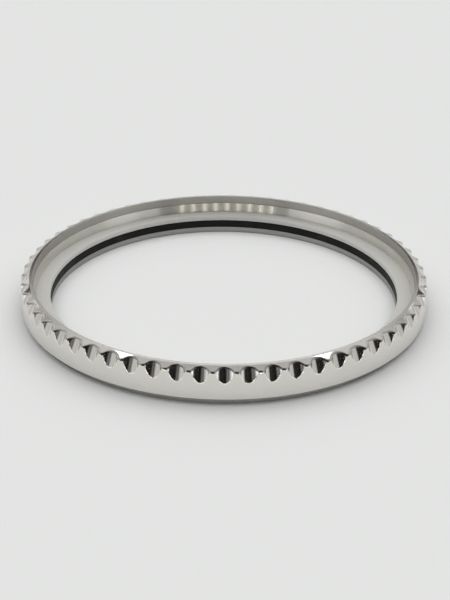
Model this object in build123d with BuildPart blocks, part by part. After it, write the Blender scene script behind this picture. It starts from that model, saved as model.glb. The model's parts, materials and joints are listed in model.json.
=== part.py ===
from build123d import *
import os
from math import atan2, cos, degrees, hypot, isclose, pi, radians, sin

# Rotating bezel of a 40 mm diving watch, with the parts that carry it, keep it down and make it click.
# The axis is Z. The underside of the base ring lies on Z = 0 and the insert side faces up. Millimetres.

os.makedirs("parts", exist_ok=True)

# Bezel ring
bezel_diameter = 40.0
rim_width = 1.17
recess_depth = 1.76
recess_wall_depth = 0.80
recess_ledge = 0.05
recess_taper = 0.22
recess_foot_round = 0.12
seat_chamfer = 0.10
lip_thickness = 0.43
top_land = 0.32
top_edge_round = 0.04
bevel_drop = 0.23
skirt_chamfer = 0.06

# Coin edge
flute_count = 60
flute_land = 0.30
flute_length = 1.37
flute_margin = 0.15
coin_edge_round = 0.29

# Ratchet under the bezel ring
tooth_count = 120
tooth_depth = 0.30
tooth_land = 0.15
tooth_band_margin = 0.08

# Base ring
base_height = 0.60
base_inset = 0.50
base_rim_wall = 0.18
channel_depth = 0.35
base_edge_chamfer = 0.06

# Neck sleeve
sleeve_wall = 0.42
sleeve_height = 0.77
sleeve_edge_round = 0.05
tongue_width = 0.14
tongue_height = 0.20
tongue_inset = 0.14

# Retaining wire
wire_diameter = 0.30
wire_gap = 6.0
wire_groove_depth = 0.12
wire_height = 0.45
wire_end_round = 0.10

# Thrust washer
washer_width = 0.50
washer_thickness = 0.08

# Click spring and its pins
tang_count = 3
spring_thickness = 0.12
spring_band = 0.40
ear_length = 2.2
ear_lap = 0.40
tang_width = 0.50
tang_gap = 0.06
tang_side_clearance = 0.16
tang_run = 2.4
tang_lift = 0.25
tip_run = 0.60
tip_lift = 0.30
pin_diameter = 0.50
pin_head_diameter = 0.84
pin_head_height = 0.12
pin_recess = 0.05

# Clearances, and one overrun for every cut
seat_clearance = 0.01
wire_clearance = 0.02
running_clearance = 0.05
running_height = 0.12
lip_clearance = 0.04
tang_clearance = 0.08
overrun = 1.0

# Radii, from the outside of the bezel ring inward to the case neck
bezel_radius = bezel_diameter / 2
recess_radius = bezel_radius - rim_width
land_radius = recess_radius + top_land
recess_foot_radius = recess_radius - recess_ledge - recess_taper
base_radius = bezel_radius - base_inset
channel_outer = base_radius - base_rim_wall
tang_inner = channel_outer - tang_side_clearance - tang_width
spring_inner = tang_inner - tang_gap - spring_band
channel_inner = spring_inner - running_clearance
tooth_band_inner = channel_inner + tooth_band_margin
tooth_band_outer = channel_outer - tooth_band_margin
tooth_width = 2 * pi * tooth_band_inner / tooth_count - tooth_land
washer_outer = channel_inner - running_clearance
pocket_radius = washer_outer - washer_width
sleeve_radius = pocket_radius - running_clearance
neck_radius = sleeve_radius - sleeve_wall
lip_radius = neck_radius + running_clearance
tongue_inner = neck_radius + tongue_inset
tongue_outer = tongue_inner + tongue_width
wire_radius = wire_diameter / 2
sleeve_groove_radius = sleeve_radius - wire_groove_depth
wire_ring_radius = sleeve_groove_radius + wire_clearance + wire_radius
bezel_groove_radius = wire_ring_radius + wire_radius + running_clearance

# Heights, from the underside up
channel_floor = base_height - channel_depth
spring_bottom = channel_floor + seat_clearance
spring_top = spring_bottom + spring_thickness
bezel_bottom = base_height + running_height
wire_level = base_height + wire_height
sleeve_top = base_height + sleeve_height
lip_bottom = sleeve_top + lip_clearance
seat_height = lip_bottom + lip_thickness
bezel_top = seat_height + recess_depth
ledge_height = bezel_top - recess_wall_depth
bevel_height = bezel_top - bevel_drop

# Scallops: each leaves a land of the given width at the rim, where it is flute_depth deep
flute_reach = rim_width - top_land - flute_margin
flute_tilt = atan2(flute_reach, flute_length)
flute_depth = (flute_length - bevel_drop) * sin(flute_tilt)
flute_half_width = (2 * pi * bezel_radius / flute_count - flute_land) / 2
flute_radius = (flute_half_width ** 2 + flute_depth ** 2) / (2 * flute_depth)

# Places of the first tang and of the ear that carries it
tang_radius = tang_inner + tang_width / 2
tip_reach = (tang_run + tip_run) / 2
tang_middle = -degrees(atan2(tip_reach, tang_radius) + tang_clearance / tang_radius)
ear_middle = tang_middle - degrees((tip_reach + ear_length / 2) / tang_radius)
ear_radius = (spring_inner + tang_inner + tang_width) / 2


def radial_plane(azimuth, radius, height):
    """A plane that faces outward: its X runs round the ring and its Y runs up."""
    turn = radians(azimuth)
    return Plane(
        origin=(radius * cos(turn), radius * sin(turn), height),
        x_dir=(-sin(turn), cos(turn), 0),
        z_dir=(cos(turn), sin(turn), 0),
    )


# One scallop's cutter: a cylinder whose deepest line leans in from its tip on the wall to its head on the bevel.
flute_axis = (-sin(flute_tilt), 0, cos(flute_tilt))
flute_centre = (
    bezel_radius + flute_radius * cos(flute_tilt),
    0,
    bezel_top - flute_length + flute_radius * sin(flute_tilt),
)
with BuildPart() as flute_cutter:
    with BuildSketch(Plane(origin=flute_centre, x_dir=(0, 1, 0), z_dir=flute_axis)):
        Circle(flute_radius)
    extrude(amount=hypot(flute_length, flute_reach) + overrun, both=True)

# One ratchet notch's cutter: an upright face and a long ramp.
with BuildPart() as notch_cutter:
    with BuildSketch(radial_plane(0, tooth_band_inner, bezel_bottom)):
        with BuildLine():
            Polyline(
                (0, -overrun),
                (0, tooth_depth),
                (-tooth_width, 0),
                (-tooth_width, -overrun),
                close=True,
            )
        make_face()
    extrude(amount=tooth_band_outer - tooth_band_inner)

# Bezel ring: a turned section, then the notches underneath and the scallops round the edge.
with BuildPart() as bezel_ring:
    with BuildSketch(Plane.XZ) as section:
        with BuildLine():
            Polyline(
                (lip_radius, lip_bottom),
                (lip_radius, seat_height),
                (recess_foot_radius, seat_height),
                (recess_radius - recess_ledge, ledge_height),
                (recess_radius, ledge_height),
                (recess_radius, bezel_top),
                (land_radius, bezel_top),
                (bezel_radius, bevel_height),
                (bezel_radius, bezel_bottom),
                (pocket_radius, bezel_bottom),
                (pocket_radius, wire_level - wire_radius - running_clearance),
                (bezel_groove_radius, wire_level - wire_radius - running_clearance),
                (bezel_groove_radius, wire_level + wire_radius + running_clearance),
                (pocket_radius, wire_level + wire_radius + running_clearance),
                (pocket_radius, lip_bottom),
                close=True,
            )
        make_face()
        corners = section.vertices()
        seat_edge = corners.sort_by_distance((lip_radius, seat_height))[0]
        recess_edge = corners.sort_by_distance((recess_radius, bezel_top))[0]
        skirt_edge = corners.sort_by_distance((bezel_radius, bezel_bottom))[0]
        recess_foot = corners.sort_by_distance((recess_foot_radius, seat_height))[0]
        chamfer(seat_edge, length=seat_chamfer)
        fillet(recess_edge, radius=top_edge_round)
        chamfer(skirt_edge, length=skirt_chamfer)
        fillet(recess_foot, radius=recess_foot_round)
    revolve(axis=Axis.Z)
    with PolarLocations(0, tooth_count):
        add(notch_cutter.part, mode=Mode.SUBTRACT)
    with PolarLocations(0, flute_count):
        add(flute_cutter.part, mode=Mode.SUBTRACT)
    flute_faces = bezel_ring.faces().filter_by(
        lambda face: face.geom_type == GeomType.CYLINDER and isclose(face.radius, flute_radius)
    )
    rim_edges = bezel_ring.edges().filter_by(GeomType.CIRCLE).filter_by(
        lambda edge: isclose(edge.radius, bezel_radius) and isclose(edge.center().Z, bevel_height)
    )
    fillet(flute_faces.edges() + rim_edges, radius=coin_edge_round)
bezel_ring.part.label = "bezel_ring"
export_step(bezel_ring.part, "parts/bezel_ring.step")

# Base ring: a flat turned ring with a channel for the click spring, a groove for the sleeve and three pin holes.
with BuildPart() as base_ring:
    with BuildSketch(Plane.XZ) as base_section:
        with BuildLine():
            Polyline(
                (neck_radius, 0),
                (neck_radius, base_height),
                (tongue_inner - seat_clearance, base_height),
                (tongue_inner - seat_clearance, base_height - tongue_height - seat_clearance),
                (tongue_outer + seat_clearance, base_height - tongue_height - seat_clearance),
                (tongue_outer + seat_clearance, base_height),
                (channel_inner, base_height),
                (channel_inner, channel_floor),
                (channel_outer, channel_floor),
                (channel_outer, base_height),
                (base_radius, base_height),
                (base_radius, 0),
                close=True,
            )
        make_face()
        foot_edge = base_section.vertices().sort_by_distance((base_radius, 0))[0]
        bore_edge = base_section.vertices().sort_by_distance((neck_radius, 0))[0]
        chamfer([foot_edge, bore_edge], length=base_edge_chamfer)
    revolve(axis=Axis.Z)
    with BuildSketch():
        with PolarLocations(ear_radius, tang_count, start_angle=ear_middle):
            Circle(pin_diameter / 2 + seat_clearance)
    extrude(amount=channel_floor, mode=Mode.SUBTRACT)
base_ring.part.label = "base_ring"
export_step(base_ring.part, "parts/base_ring.step")

# Neck sleeve: a polymer ring with a tongue in the base ring and an outer groove for the retaining wire.
with BuildPart() as neck_sleeve:
    with BuildSketch(Plane.XZ) as sleeve_section:
        with BuildLine():
            Polyline(
                (neck_radius, base_height),
                (neck_radius, sleeve_top),
                (sleeve_radius, sleeve_top),
                (sleeve_radius, wire_level + wire_radius + wire_clearance),
                (sleeve_groove_radius, wire_level + wire_radius + wire_clearance),
                (sleeve_groove_radius, wire_level - wire_radius - wire_clearance),
                (sleeve_radius, wire_level - wire_radius - wire_clearance),
                (sleeve_radius, base_height),
                (tongue_outer, base_height),
                (tongue_outer, base_height - tongue_height),
                (tongue_inner, base_height - tongue_height),
                (tongue_inner, base_height),
                close=True,
            )
        make_face()
        inner_edges = sleeve_section.vertices().group_by(Axis.X)[0]
        fillet(inner_edges, radius=sleeve_edge_round)
    revolve(axis=Axis.Z)
neck_sleeve.part.label = "neck_sleeve"
export_step(neck_sleeve.part, "parts/neck_sleeve.step")

# Retaining wire: a round spring wire bent to an open ring.
wire_open_angle = degrees(wire_gap / wire_ring_radius)
with BuildPart() as retaining_wire:
    with BuildSketch(Plane.XZ):
        with Locations((wire_ring_radius, wire_level)):
            Circle(wire_radius)
    revolve(axis=Axis.Z, revolution_arc=360 - wire_open_angle)
    end_edges = retaining_wire.faces().filter_by(GeomType.PLANE).edges()
    fillet(end_edges, radius=wire_end_round)
retaining_wire.part.label = "retaining_wire"
export_step(retaining_wire.part, "parts/retaining_wire.step")

# Thrust washer: lies on the base ring's inner land, under the bezel ring.
with BuildPart() as thrust_washer:
    with BuildSketch(Plane.XY.offset(base_height)):
        Circle(washer_outer)
        Circle(pocket_radius, mode=Mode.SUBTRACT)
    extrude(amount=washer_thickness)
thrust_washer.part.label = "thrust_washer"
export_step(thrust_washer.part, "parts/thrust_washer.step")

# Click spring: a flat band with three wide ears, and a tang bent up from each ear into a ratchet notch.
with BuildPart() as click_spring:
    with BuildSketch(Plane.XY.offset(spring_bottom)):
        Circle(spring_inner + spring_band)
        Circle(spring_inner, mode=Mode.SUBTRACT)
    extrude(amount=spring_thickness)
    for tang in range(tang_count):
        turn = tang * 360 / tang_count
        with BuildSketch(radial_plane(turn + ear_middle, spring_inner, spring_bottom)):
            with Locations((0, spring_thickness / 2)):
                Rectangle(ear_length, spring_thickness)
        extrude(amount=tang_inner + tang_width - spring_inner)
        with BuildSketch(radial_plane(turn + tang_middle, tang_inner, spring_bottom)):
            with BuildLine():
                Polyline(
                    (-tip_reach - ear_lap, 0),
                    (-tip_reach, 0),
                    (tip_reach - tip_run, tang_lift),
                    (tip_reach, tang_lift + tip_lift),
                    (tip_reach, tang_lift + tip_lift + spring_thickness),
                    (tip_reach - tip_run, tang_lift + spring_thickness),
                    (-tip_reach, spring_thickness),
                    (-tip_reach - ear_lap, spring_thickness),
                    close=True,
                )
            make_face()
        extrude(amount=tang_width)
    with BuildSketch():
        with PolarLocations(ear_radius, tang_count, start_angle=ear_middle):
            Circle(pin_diameter / 2 + running_clearance)
    extrude(amount=base_height, mode=Mode.SUBTRACT)
click_spring.part.label = "click_spring"
export_step(click_spring.part, "parts/click_spring.step")

# Spring pins: pressed up through the base ring, each with a flat head over one ear.
with BuildPart() as spring_pins:
    with BuildSketch(Plane.XY.offset(pin_recess)):
        with PolarLocations(ear_radius, tang_count, start_angle=ear_middle):
            Circle(pin_diameter / 2)
    extrude(amount=spring_top + seat_clearance - pin_recess)
    with BuildSketch(Plane.XY.offset(spring_top + seat_clearance)):
        with PolarLocations(ear_radius, tang_count, start_angle=ear_middle):
            Circle(pin_head_diameter / 2)
    extrude(amount=pin_head_height)
spring_pins.part.label = "spring_pins"
export_step(spring_pins.part, "parts/spring_pins.step")
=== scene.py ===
import json
from math import pi, radians

import bpy
from mathutils import Matrix, Vector

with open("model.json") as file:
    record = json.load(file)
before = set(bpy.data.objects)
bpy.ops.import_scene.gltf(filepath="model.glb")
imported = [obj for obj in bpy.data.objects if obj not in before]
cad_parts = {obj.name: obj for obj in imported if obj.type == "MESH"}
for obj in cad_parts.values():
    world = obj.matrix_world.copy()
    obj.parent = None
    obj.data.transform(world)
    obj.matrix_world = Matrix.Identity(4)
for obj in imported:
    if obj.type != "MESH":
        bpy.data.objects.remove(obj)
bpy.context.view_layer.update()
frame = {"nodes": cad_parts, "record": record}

# Camera: stands about 123 mm from the ring's axis and looks down on it by 27 degrees.
# Its focal length is given in pixels of the 450 x 600 picture, whose long side the sensor fits.
MM = 0.001
camera_place = Vector((-0.651, -109.79, 56.156)) * MM
camera_turn, camera_dip, camera_roll = -0.007, 0.4721, 0.008
focal_pixels, picture_height, sensor_height = 1227.2, 600, 36.0
camera_data = bpy.data.cameras.new("camera")
camera_data.sensor_width = sensor_height
camera_data.lens = sensor_height * focal_pixels / picture_height
camera_data.clip_start = MM
camera = bpy.data.objects.new("camera", camera_data)
camera.matrix_world = (
    Matrix.Translation(camera_place)
    @ Matrix.Rotation(camera_turn, 4, "Z")
    @ Matrix.Rotation(pi / 2 - camera_dip, 4, "X")
    @ Matrix.Rotation(camera_roll, 4, "Z")
)
bpy.context.scene.collection.objects.link(camera)
bpy.context.scene.camera = camera
bpy.context.scene.view_settings.view_transform = "Standard"


# Room: pale cloth hangs round the table and overhead, and the side behind the camera is open and dark, with a
# bright screen low at each of its sides and a row of light strips between them. Metal mirrors this room.
# Everything else is lit by plain soft light of the same pale white, a little weaker from the open side.
def add_node(tree, kind, values=None, **settings):
    """One node of a tree, with its settings, and each input given as a value or as another node's output."""
    node = tree.nodes.new(kind)
    for name, value in settings.items():
        setattr(node, name, value)
    for name, value in (values or {}).items():
        if isinstance(value, bpy.types.NodeSocket):
            tree.links.new(value, node.inputs[name])
        else:
            node.inputs[name].default_value = value
    return node


def do_math(tree, operation, *values):
    """The output of a Math node."""
    return add_node(tree, "ShaderNodeMath", dict(enumerate(values)), operation=operation).outputs[0]


def soft_step(tree, value, start, end):
    """Goes smoothly from 0 at start to 1 at end."""
    values = {"Value": value, "From Min": start, "From Max": end}
    return add_node(tree, "ShaderNodeMapRange", values, interpolation_type="SMOOTHSTEP").outputs[0]


def mix_colours(tree, share, first, second):
    """Goes from the first colour to the second as share goes from 0 to 1."""
    return add_node(tree, "ShaderNodeMix", {0: share, 6: first, 7: second}, data_type="RGBA").outputs[2]


def grey_ramp(tree, degrees, lowest, highest, stops):
    """Greys along an angle in degrees: each stop is an angle and its grey."""
    values = {"Value": degrees, "From Min": lowest, "From Max": highest}
    place = add_node(tree, "ShaderNodeMapRange", values).outputs[0]
    node = add_node(tree, "ShaderNodeValToRGB", {"Fac": place})
    ramp = node.color_ramp
    while len(ramp.elements) < len(stops):
        ramp.elements.new(0.5)
    for element, (angle, grey) in zip(ramp.elements, stops):
        element.position = (angle - lowest) / (highest - lowest)
        element.color = (grey, grey, grey, 1)
    return node.outputs[0]


room = bpy.data.worlds.new("room")
bpy.context.scene.world = room
room.use_nodes = True
tree = room.node_tree
tree.nodes.clear()
look = add_node(tree, "ShaderNodeTexCoord")
across, along, up = add_node(tree, "ShaderNodeSeparateXYZ", {0: look.outputs["Generated"]}).outputs
from_front = do_math(tree, "ARCTAN2", across, do_math(tree, "MULTIPLY", along, -1.0))
turn_degrees = do_math(tree, "DEGREES", from_front)
rise_degrees = do_math(tree, "DEGREES", do_math(tree, "ARCSINE", up))
white, black = (1, 1, 1, 1), (0, 0, 0, 1)
# The cloth's folds, from the table's level up to overhead.
cloth_greys = (
    (0, 0.60), (6, 0.62), (12, 0.64), (18, 0.60), (21, 0.80), (22.7, 0.82), (23.6, 0.12), (25, 0.06),
    (26.4, 0.48), (28.6, 0.52), (29.4, 0.98), (31, 0.98), (32, 0.48), (36, 0.42), (40, 0.60), (47, 0.74),
    (56, 0.60), (60, 0.46), (67, 0.62), (90, 0.62),
)
cloth = grey_ramp(tree, rise_degrees, 0, 90, cloth_greys)
# The cloth's shade, from straight behind the camera, where it is darkest, round to straight behind the ring.
turn_size = do_math(tree, "ABSOLUTE", turn_degrees)
side_greys = (
    (0, 0.02), (30, 0.06), (50, 0.18), (70, 0.40), (90, 0.58), (110, 0.75), (130, 0.95), (180, 1.00),
)
side_shade = grey_ramp(tree, turn_size, 0, 180, side_greys)
above_table = soft_step(tree, rise_degrees, 8, 16)
below_top = soft_step(tree, rise_degrees, 88, 76)
over_opening = do_math(tree, "MULTIPLY", above_table, below_top)
shade_share = mix_colours(tree, over_opening, white, side_shade)
shaded_cloth = mix_colours(tree, shade_share, black, cloth)
# The opening's greys, from the picture's left to its right.
opening_greys = (
    (-90, 0.62), (-64, 0.66), (-54, 0.56), (-46, 0.26), (-40, 0.14), (-36, 0.14), (-28, 0.24), (-20, 0.16),
    (-12, 0.03), (-5, 0.015), (4, 0.015), (51, 0.025), (54, 0.12), (60, 0.48), (66, 0.60), (90, 0.64),
)
opening = grey_ramp(tree, turn_degrees, -90, 90, opening_greys)
opening_width = soft_step(tree, turn_size, 90, 78)
opening_height = soft_step(tree, rise_degrees, 26, 20)
in_opening = do_math(tree, "MULTIPLY", opening_width, opening_height)
cloth_and_opening = mix_colours(tree, in_opening, shaded_cloth, opening)
# The two screens, one at each side.
screen_light = (1.7, 1.7, 1.75, 1)
screen_height = soft_step(tree, rise_degrees, 9, 4)
screen_inner, screen_outer = soft_step(tree, turn_size, 39, 42), soft_step(tree, turn_size, 82, 72)
screen_width = do_math(tree, "MULTIPLY", screen_inner, screen_outer)
in_screens = do_math(tree, "MULTIPLY", screen_width, screen_height)
with_screens = mix_colours(tree, in_screens, cloth_and_opening, screen_light)
# The row of light strips, each brightest at its middle, on a dimmer board.
strip_light, board_light = (6.0, 5.85, 5.2, 1), (0.45, 0.43, 0.37, 1)
half_strip_step, strip_shift = 3.5, 2.0
from_strip = do_math(tree, "PINGPONG", do_math(tree, "ADD", turn_degrees, strip_shift), half_strip_step)
board_foot, board_top = soft_step(tree, rise_degrees, 0, 1), soft_step(tree, rise_degrees, 9, 6)
board_height = do_math(tree, "MULTIPLY", board_foot, board_top)
on_board = do_math(tree, "MULTIPLY", soft_step(tree, turn_size, 32, 30), board_height)
with_board = mix_colours(tree, on_board, with_screens, board_light)
in_strips = do_math(tree, "MULTIPLY", soft_step(tree, from_strip, 1.0, 0.5), on_board)
room_picture = mix_colours(tree, in_strips, with_board, strip_light)
# The plain light, weaker from low down and from the open side.
plain_low, plain_high = (0.112, 0.112, 0.111, 1), (1.52, 1.53, 1.52, 1)
open_side_loss = 0.15
plain_side = do_math(tree, "MULTIPLY_ADD", along, open_side_loss, up)
plain_light = mix_colours(tree, soft_step(tree, plain_side, 0.2, 1.0), plain_low, plain_high)
ray = add_node(tree, "ShaderNodeLightPath")
mirrored = do_math(tree, "MAXIMUM", ray.outputs["Is Camera Ray"], ray.outputs["Is Glossy Ray"])
light = mix_colours(tree, mirrored, plain_light, room_picture)
background = add_node(tree, "ShaderNodeBackground", {"Color": light})
add_node(tree, "ShaderNodeOutputWorld", {"Surface": background.outputs[0]})
room.cycles.sampling_method = "NONE"


# Windows: two small lamps high behind the ring. They show only in shiny faces, as bright spots on the bevel.
def add_lamp(name, place, width, height, power):
    """An area lamp that faces the ring and shows only in shiny surfaces."""
    lamp_data = bpy.data.lights.new(name, "AREA")
    lamp_data.shape = "RECTANGLE"
    lamp_data.size, lamp_data.size_y = width, height
    lamp_data.energy = power
    lamp = bpy.data.objects.new(name, lamp_data)
    lamp.matrix_world = Matrix.Translation(place) @ (-place).to_track_quat("-Z", "Y").to_matrix().to_4x4()
    lamp.visible_camera = lamp.visible_diffuse = False
    bpy.context.scene.collection.objects.link(lamp)


window_distance, window_turn, window_rise = 0.6, radians(24), radians(53)
window_width, window_height, window_power = 0.028, 0.03, 0.014
for side in (-1, 1):
    reach = Matrix.Rotation(side * window_turn, 4, "Z") @ Matrix.Rotation(window_rise, 4, "X")
    window_place = reach @ Vector((0, window_distance, 0))
    add_lamp(f"window_{side}", window_place, window_width, window_height, window_power)


# Floor: a plain pale sheet that the ring lies on.
floor_size = 3.0
floor_mesh = bpy.data.meshes.new("floor")
floor_corners = [(x * floor_size, y * floor_size, 0) for x, y in ((-1, -1), (1, -1), (1, 1), (-1, 1))]
floor_mesh.from_pydata(floor_corners, [], [(0, 1, 2, 3)])
floor = bpy.data.objects.new("floor", floor_mesh)
bpy.context.scene.collection.objects.link(floor)
floor_material = bpy.data.materials.new("floor_sheet")
floor_material.use_nodes = True
shader = floor_material.node_tree.nodes["Principled BSDF"]
shader.inputs["Base Color"].default_value = (0.79, 0.795, 0.79, 1)
shader.inputs["Roughness"].default_value = 0.9
shader.inputs["Specular IOR Level"].default_value = 0.0
floor_mesh.materials.append(floor_material)


# Neck sleeve: a thin black polymer liner, moulded and pressed into the bore of the base ring.
# It has the fine matt grain of the mould and slightly paler rubbed patches.
def new_material(name):
    """A material with its tree and its Principled shader."""
    material = bpy.data.materials.new(name)
    material.use_nodes = True
    tree = material.node_tree
    return material, tree, tree.nodes["Principled BSDF"]


def finish_node(node_name, material):
    """Gives a CAD node its material."""
    frame["nodes"][node_name].data.materials[0] = material


def build_moulded_grain():
    """A node group: the grain of a mould and the cloudy patches of handling on a polymer."""
    group = bpy.data.node_groups.new("moulded_grain", "ShaderNodeTree")
    group.interface.new_socket("Grain Size", in_out="INPUT", socket_type="NodeSocketFloat")
    group.interface.new_socket("Grain", in_out="OUTPUT", socket_type="NodeSocketFloat")
    group.interface.new_socket("Rubbed", in_out="OUTPUT", socket_type="NodeSocketFloat")
    grain_size = add_node(group, "NodeGroupInput").outputs["Grain Size"]
    place = add_node(group, "ShaderNodeTexCoord").outputs["Object"]
    per_metre = do_math(group, "DIVIDE", 1.0, grain_size)
    grain = add_node(group, "ShaderNodeTexNoise", {"Vector": place, "Scale": per_metre, "Detail": 2.0})
    grains_per_patch = 25.0
    patches = do_math(group, "DIVIDE", per_metre, grains_per_patch)
    cloud = add_node(group, "ShaderNodeTexNoise", {"Vector": place, "Scale": patches, "Detail": 3.0})
    rubbed = soft_step(group, cloud.outputs[0], 0.5, 0.7)
    add_node(group, "NodeGroupOutput", {"Grain": grain.outputs[0], "Rubbed": rubbed})
    return group


moulded_grain = build_moulded_grain()


def polymer(name, grain_size, colour, rubbed_colour, roughness):
    """A moulded polymer with grain in its bump and rubbed patches in its colour and roughness."""
    material, tree, shader = new_material(name)
    grain = add_node(tree, "ShaderNodeGroup", {}, node_tree=moulded_grain)
    grain.inputs["Grain Size"].default_value = grain_size
    rubbed = grain.outputs["Rubbed"]
    tree.links.new(mix_colours(tree, rubbed, colour, rubbed_colour), shader.inputs["Base Color"])
    rubbed_loss = -0.1
    tree.links.new(do_math(tree, "MULTIPLY_ADD", rubbed, rubbed_loss, roughness), shader.inputs["Roughness"])
    bump = {"Height": grain.outputs["Grain"], "Strength": 0.4, "Distance": grain_size / 4}
    tree.links.new(add_node(tree, "ShaderNodeBump", bump).outputs[0], shader.inputs["Normal"])
    return material, shader


sleeve_black, sleeve_rubbed = (0.008, 0.008, 0.007, 1), (0.013, 0.013, 0.012, 1)
sleeve_polymer, shader = polymer("sleeve_polymer", 0.08 * MM, sleeve_black, sleeve_rubbed, 0.6)
shader.inputs["Specular IOR Level"].default_value = 0.2
finish_node("neck_sleeve", sleeve_polymer)


# Base ring: turned from stainless steel and pressed on the neck of the case. It keeps the lines of the tool
# and is duller than the bezel ring. Its colour is darkened all over as painted shade for the shade under the
# bezel.
def build_turned_lines():
    """A node group: the lines that a lathe tool leaves round the Z axis, and a point's radius and height."""
    group = bpy.data.node_groups.new("turned_lines", "ShaderNodeTree")
    group.interface.new_socket("Pitch", in_out="INPUT", socket_type="NodeSocketFloat")
    group.interface.new_socket("Lines", in_out="OUTPUT", socket_type="NodeSocketFloat")
    group.interface.new_socket("Radius", in_out="OUTPUT", socket_type="NodeSocketFloat")
    group.interface.new_socket("Height", in_out="OUTPUT", socket_type="NodeSocketFloat")
    pitch = add_node(group, "NodeGroupInput").outputs["Pitch"]
    place = add_node(group, "ShaderNodeTexCoord").outputs["Object"]
    x, y, z = add_node(group, "ShaderNodeSeparateXYZ", {0: place}).outputs
    radius = do_math(group, "SQRT", do_math(group, "MULTIPLY_ADD", x, x, do_math(group, "MULTIPLY", y, y)))
    line_place = add_node(group, "ShaderNodeCombineXYZ", {
        "X": do_math(group, "DIVIDE", radius, pitch),
        "Y": do_math(group, "DIVIDE", z, pitch),
        "Z": do_math(group, "DIVIDE", x, radius),
    }).outputs[0]
    round_place = do_math(group, "DIVIDE", y, radius)
    noise_values = {"Vector": line_place, "W": round_place, "Scale": 1.0, "Detail": 2.0}
    noise = add_node(group, "ShaderNodeTexNoise", noise_values, noise_dimensions="4D")
    add_node(group, "NodeGroupOutput", {"Lines": noise.outputs[0], "Radius": radius, "Height": z})
    return group


turned_lines = build_turned_lines()


def turned_group(tree, pitch):
    """The turned lines in a material, at that material's own pitch."""
    node = add_node(tree, "ShaderNodeGroup", node_tree=turned_lines)
    node.inputs["Pitch"].default_value = pitch
    return node


def round_the_axis(tree, shader, anisotropy):
    """Stretches the gloss across the turned lines, as a lathe finish does."""
    shader.inputs["Anisotropic"].default_value = anisotropy
    shader.inputs["Anisotropic Rotation"].default_value = 0.25
    tangent = add_node(tree, "ShaderNodeTangent", direction_type="RADIAL", axis="Z")
    tree.links.new(tangent.outputs[0], shader.inputs["Tangent"])


base_steel, tree, shader = new_material("base_steel")
lines = turned_group(tree, 0.05 * MM)
# The base ring's dark steel colour is painted shade, standing in for the shade it lies in under the bezel.
base_ring_painted_shade_colour = mix_colours(tree, lines.outputs["Lines"], (0.34, 0.335, 0.325, 1), (0.44, 0.435, 0.42, 1))
tree.links.new(base_ring_painted_shade_colour, shader.inputs["Base Color"])
tree.links.new(do_math(tree, "MULTIPLY_ADD", lines.outputs["Lines"], 0.1, 0.30), shader.inputs["Roughness"])
shader.inputs["Metallic"].default_value = 1.0
round_the_axis(tree, shader, 0.6)
finish_node("base_ring", base_steel)


# Spring pins: three turned stainless steel pins that hold the click spring on the base ring.
# They are bright, with the rings of the tool.
pin_steel, tree, shader = new_material("pin_steel")
lines = turned_group(tree, 0.03 * MM)
pin_colour = mix_colours(tree, lines.outputs["Lines"], (0.60, 0.60, 0.595, 1), (0.72, 0.72, 0.71, 1))
tree.links.new(pin_colour, shader.inputs["Base Color"])
tree.links.new(do_math(tree, "MULTIPLY_ADD", lines.outputs["Lines"], 0.12, 0.18), shader.inputs["Roughness"])
shader.inputs["Metallic"].default_value = 1.0
finish_node("spring_pins", pin_steel)


# Click spring and retaining wire: the spring is cut from rolled spring strip, with three tangs bent up,
# and the wire is bent from drawn spring wire. Both keep a faint straw tint from tempering.
def build_temper_tint():
    """A node group: the cloudy tint of tempering and the fine scores of rolling or drawing."""
    group = bpy.data.node_groups.new("temper_tint", "ShaderNodeTree")
    group.interface.new_socket("Cloud Size", in_out="INPUT", socket_type="NodeSocketFloat")
    group.interface.new_socket("Tint", in_out="OUTPUT", socket_type="NodeSocketFloat")
    group.interface.new_socket("Scores", in_out="OUTPUT", socket_type="NodeSocketFloat")
    cloud_size = add_node(group, "NodeGroupInput").outputs["Cloud Size"]
    place = add_node(group, "ShaderNodeTexCoord").outputs["Object"]
    per_metre = do_math(group, "DIVIDE", 1.0, cloud_size)
    cloud = add_node(group, "ShaderNodeTexNoise", {"Vector": place, "Scale": per_metre, "Detail": 3.0})
    scores_per_cloud = 30.0
    fine = do_math(group, "MULTIPLY", per_metre, scores_per_cloud)
    scores = add_node(group, "ShaderNodeTexNoise", {"Vector": place, "Scale": fine, "Detail": 2.0})
    add_node(group, "NodeGroupOutput", {"Tint": cloud.outputs[0], "Scores": scores.outputs[0]})
    return group


temper_tint = build_temper_tint()
spring_steel, tree, shader = new_material("spring_steel")
temper = add_node(tree, "ShaderNodeGroup", node_tree=temper_tint)
temper.inputs["Cloud Size"].default_value = 2 * MM
tint = soft_step(tree, temper.outputs["Tint"], 0.4, 0.65)
bare_spring, straw_spring = (0.52, 0.525, 0.54, 1), (0.60, 0.56, 0.48, 1)
tree.links.new(mix_colours(tree, tint, bare_spring, straw_spring), shader.inputs["Base Color"])
tree.links.new(do_math(tree, "MULTIPLY_ADD", temper.outputs["Scores"], 0.2, 0.2), shader.inputs["Roughness"])
shader.inputs["Metallic"].default_value = 1.0
finish_node("click_spring", spring_steel)
finish_node("retaining_wire", spring_steel)


# Thrust washer: a flat ring punched from natural low-friction polymer sheet, which the bezel ring slides on.
# Its rubbed patches are smoother and darker.
washer_natural, washer_rubbed = (0.70, 0.69, 0.65, 1), (0.60, 0.585, 0.54, 1)
washer_polymer, shader = polymer("washer_polymer", 0.1 * MM, washer_natural, washer_rubbed, 0.5)
finish_node("thrust_washer", washer_polymer)


# Bezel ring: turned from stainless steel bar. The recess keeps the fine lines of the lathe tool and its seat
# is left duller. Its upper wall is rougher and darkened with painted shade. The outside is polished after the
# scallops are milled.
mounts = {mount["name"]: mount for mount in frame["record"]["mounts"]}
recess_radius = mounts["insert_recess"]["dims"]["r_mm"] * MM
recess_floor = mounts["insert_seat"]["pos_m"][2]
ledge_height = recess_floor + 0.96 * MM
edge_start, edge_end = 0.02 * MM, 0.06 * MM


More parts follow.
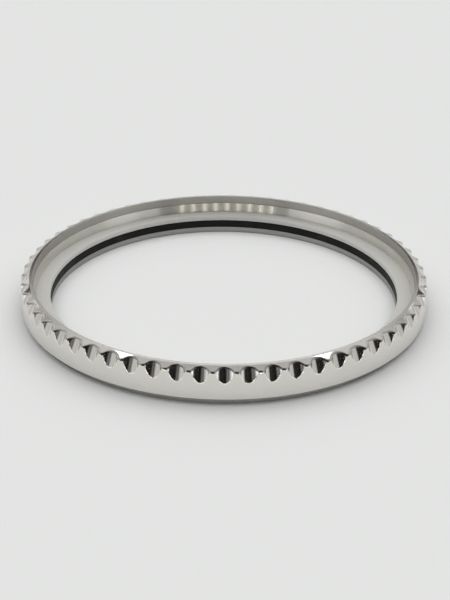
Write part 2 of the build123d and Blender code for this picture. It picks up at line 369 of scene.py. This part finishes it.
def build_handling_marks():
    """A node group: smears and hairline scratches that handling leaves on polished metal."""
    group = bpy.data.node_groups.new("handling_marks", "ShaderNodeTree")
    group.interface.new_socket("Smear Size", in_out="INPUT", socket_type="NodeSocketFloat")
    group.interface.new_socket("Smears", in_out="OUTPUT", socket_type="NodeSocketFloat")
    group.interface.new_socket("Scratches", in_out="OUTPUT", socket_type="NodeSocketFloat")
    smear_size = add_node(group, "NodeGroupInput").outputs["Smear Size"]
    place = add_node(group, "ShaderNodeTexCoord").outputs["Object"]
    per_metre = do_math(group, "DIVIDE", 1.0, smear_size)
    smears = add_node(group, "ShaderNodeTexNoise", {"Vector": place, "Scale": per_metre, "Detail": 4.0})
    flatten = {0: place, 1: (1.0, 1.3, 6.0)}
    flat_place = add_node(group, "ShaderNodeVectorMath", flatten, operation="MULTIPLY").outputs[0]
    cells = {"Vector": flat_place, "Scale": do_math(group, "MULTIPLY", per_metre, 1.5)}
    scratch = add_node(group, "ShaderNodeTexVoronoi", cells, feature="DISTANCE_TO_EDGE")
    hairline = soft_step(group, scratch.outputs["Distance"], 0.02, 0.0)
    add_node(group, "NodeGroupOutput", {"Smears": smears.outputs[0], "Scratches": hairline})
    return group


handling_marks = build_handling_marks()
bezel_steel, tree, shader = new_material("bezel_steel")
lines = turned_group(tree, 0.06 * MM)
marks = add_node(tree, "ShaderNodeGroup", node_tree=handling_marks)
marks.inputs["Smear Size"].default_value = 3 * MM
line_shade, radius, height = lines.outputs
outside = soft_step(tree, radius, recess_radius + edge_start, recess_radius + edge_end)
inside = do_math(tree, "SUBTRACT", 1.0, outside)
high = soft_step(tree, height, ledge_height - edge_start, ledge_height + edge_start)
upper_wall = do_math(tree, "MULTIPLY", high, inside)
low = soft_step(tree, height, recess_floor + edge_end, recess_floor + edge_start)
on_seat = do_math(tree, "MULTIPLY", low, inside)
turned_colour = mix_colours(tree, line_shade, (0.72, 0.70, 0.65, 1), (0.82, 0.80, 0.75, 1))
# The upper wall's darker colour is painted shade: it stands in for the dark reflection seen on that wall.
upper_wall_painted_shade_colour = mix_colours(tree, line_shade, (0.43, 0.415, 0.375, 1), (0.52, 0.505, 0.465, 1))
polish_colour = mix_colours(tree, marks.outputs["Smears"], (0.725, 0.70, 0.66, 1), (0.785, 0.76, 0.72, 1))
seat_colour = mix_colours(tree, line_shade, (0.695, 0.68, 0.645, 1), (0.775, 0.76, 0.725, 1))
wall_colour = mix_colours(tree, upper_wall, turned_colour, upper_wall_painted_shade_colour)
inner_colour = mix_colours(tree, on_seat, wall_colour, seat_colour)
tree.links.new(mix_colours(tree, outside, inner_colour, polish_colour), shader.inputs["Base Color"])
seat_dulled = do_math(tree, "MULTIPLY", on_seat, 0.20)
wall_dulled = do_math(tree, "MULTIPLY", upper_wall, 0.12)
dulled = do_math(tree, "MAXIMUM", seat_dulled, wall_dulled)
turned_roughness = do_math(tree, "ADD", do_math(tree, "MULTIPLY_ADD", line_shade, 0.03, 0.20), dulled)
polish_roughness = do_math(tree, "MULTIPLY_ADD", marks.outputs["Smears"], 0.04, 0.04)
worn_roughness = do_math(tree, "MULTIPLY_ADD", marks.outputs["Scratches"], 0.06, polish_roughness)
roughness = add_node(tree, "ShaderNodeMix", {"Factor": outside, "A": turned_roughness, "B": worn_roughness})
tree.links.new(roughness.outputs[0], shader.inputs["Roughness"])
# The seat is the dullest face and scatters more light than it mirrors, so its metallic share is lower.
seat_metal_loss = -0.6
tree.links.new(do_math(tree, "MULTIPLY_ADD", on_seat, seat_metal_loss, 1.0), shader.inputs["Metallic"])
round_the_axis(tree, shader, 1.0)
finish_node("bezel_ring", bezel_steel)
